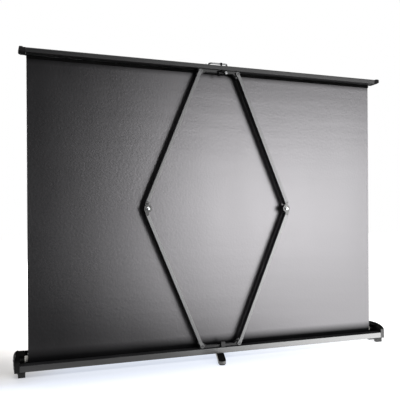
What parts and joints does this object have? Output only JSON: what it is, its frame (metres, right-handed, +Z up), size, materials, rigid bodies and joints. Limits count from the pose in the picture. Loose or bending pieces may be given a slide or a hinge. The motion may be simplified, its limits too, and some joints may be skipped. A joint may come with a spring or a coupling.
{
  "type": "tabletop pull-up projection screen",
  "caption": "Table-top projection screen: fabric pulled up from a roller in a low base rail, held by a folding diamond of hinged arms under a top bar.",
  "frame": {"origin": "on the floor, under the pivot of the swivel foot, at the middle of the base rail", "axes": "+X along the base rail, to the left as seen from behind; +Y to the back, the side of the arms and latch; +Z up. The white viewing side faces -Y."},
  "size_m": [0.9066, 0.1472, 0.6804],
  "materials": {
    "rail_black": "satin black anodised",
    "arm_black": "satin black painted",
    "cap_plastic": "fine moulded texture",
    "rubber": "matte",
    "bright_steel": "polished",
    "grey_steel": "zinc plated",
    "bracket_black": "satin black",
    "pin_black": "black oxide",
    "fabric": "black coated back, matt white front",
    "nylon": "natural nylon"
  },
  "bodies": {
    "base": {"base_rail": "rail_black", "end_cap_left": "cap_plastic", "end_cap_right": "cap_plastic", "end_foot_left": "rubber", "end_foot_right": "rubber", "base_pin_left": "pin_black", "base_pin_right": "pin_black", "base_bracket": "bracket_black", "catch_post": "pin_black", "foot_bolt": "pin_black", "foot_nut": "pin_black", "spring_shaft": "bright_steel", "winding_spring": "grey_steel", "screen_fabric": "fabric"},
    "roller": {"roller_tube": "grey_steel", "fabric_wraps": "fabric", "idle_plug": "nylon", "bearing_plug": "nylon", "spring_plug": "nylon"},
    "lower_arm_left": {"lower_tube_left": "arm_black", "base_fork_left": "arm_black", "elbow_fork_left": "cap_plastic", "elbow_bolt_left": "bright_steel", "elbow_nut_left": "bright_steel"},
    "upper_arm_left": {"upper_tube_left": "arm_black", "top_fork_left": "arm_black", "elbow_tongue_left": "cap_plastic"},
    "lower_arm_right": {"lower_tube_right": "arm_black", "base_fork_right": "arm_black", "elbow_fork_right": "cap_plastic", "elbow_bolt_right": "bright_steel", "elbow_nut_right": "bright_steel"},
    "upper_arm_right": {"upper_tube_right": "arm_black", "top_fork_right": "arm_black", "elbow_tongue_right": "cap_plastic"},
    "top": {"top_bar": "rail_black", "top_cap_left": "cap_plastic", "top_cap_right": "cap_plastic", "top_pin_left": "pin_black", "top_pin_right": "pin_black", "bail_ear_left": "cap_plastic", "bail_ear_right": "cap_plastic", "hem_bar": "rail_black", "top_bracket": "bracket_black", "latch_rivet": "bright_steel"},
    "latch": {"latch_hook": "cap_plastic"},
    "bail": {"pull_bail": "bright_steel"},
    "foot": {"swivel_foot": "cap_plastic", "foot_pad_front": "rubber", "foot_pad_back": "rubber"}
  },
  "joints": [
    {"name": "lower_left_hinge", "type": "hinge", "parent": "base", "child": "lower_arm_left", "pos_m": [0.046, 0.002, 0.0305], "axis": [0, 1, 0], "range_deg": [0, 67.3]},
    {"name": "left_elbow", "type": "hinge", "parent": "lower_arm_left", "child": "upper_arm_left", "pos_m": [0.172, 0.002, 0.34375], "axis": [0, 1, 0], "range_deg": [-134.4, 0], "deforming": ["screen_fabric"]},
    {"name": "left_top_hinge", "type": "hinge", "parent": "upper_arm_left", "child": "top", "pos_m": [0.046, 0.002, 0.657], "axis": [0, 1, 0], "range_deg": [0, 67.3]},
    {"name": "lower_right_hinge", "type": "hinge", "parent": "base", "child": "lower_arm_right", "pos_m": [-0.046, 0.002, 0.0305], "axis": [0, 1, 0], "range_deg": [-67.3, 0]},
    {"name": "right_elbow", "type": "hinge", "parent": "lower_arm_right", "child": "upper_arm_right", "pos_m": [-0.172, 0.002, 0.34375], "axis": [0, 1, 0], "range_deg": [0, 134.6]},
    {"name": "roller_spin", "type": "hinge", "parent": "base", "child": "roller", "pos_m": [0, -0.0243, 0.03], "axis": [1, 0, 0], "range_deg": [-2640, 0]},
    {"name": "latch_hinge", "type": "hinge", "parent": "top", "child": "latch", "pos_m": [-0.016, 0.008, 0.658], "axis": [0, 1, 0], "range_deg": [0, 22]},
    {"name": "bail_hinge", "type": "hinge", "parent": "top", "child": "bail", "pos_m": [0, -0.01, 0.6761], "axis": [1, 0, 0], "range_deg": [0, 95]},
    {"name": "foot_swivel", "type": "hinge", "parent": "base", "child": "foot", "pos_m": [0, 0, 0.006], "axis": [0, 0, 1], "range_deg": [-72, 18]}
  ],
  "couplings": [
    {"joint": "lower_left_hinge", "follows": "left_elbow", "ratio": -0.5},
    {"joint": "left_top_hinge", "follows": "left_elbow", "ratio": -0.5},
    {"joint": "lower_right_hinge", "follows": "left_elbow", "ratio": 0.5},
    {"joint": "right_elbow", "follows": "left_elbow", "ratio": -1},
    {"joint": "roller_spin", "follows": "left_elbow", "ratio": 19.6}
  ]
}
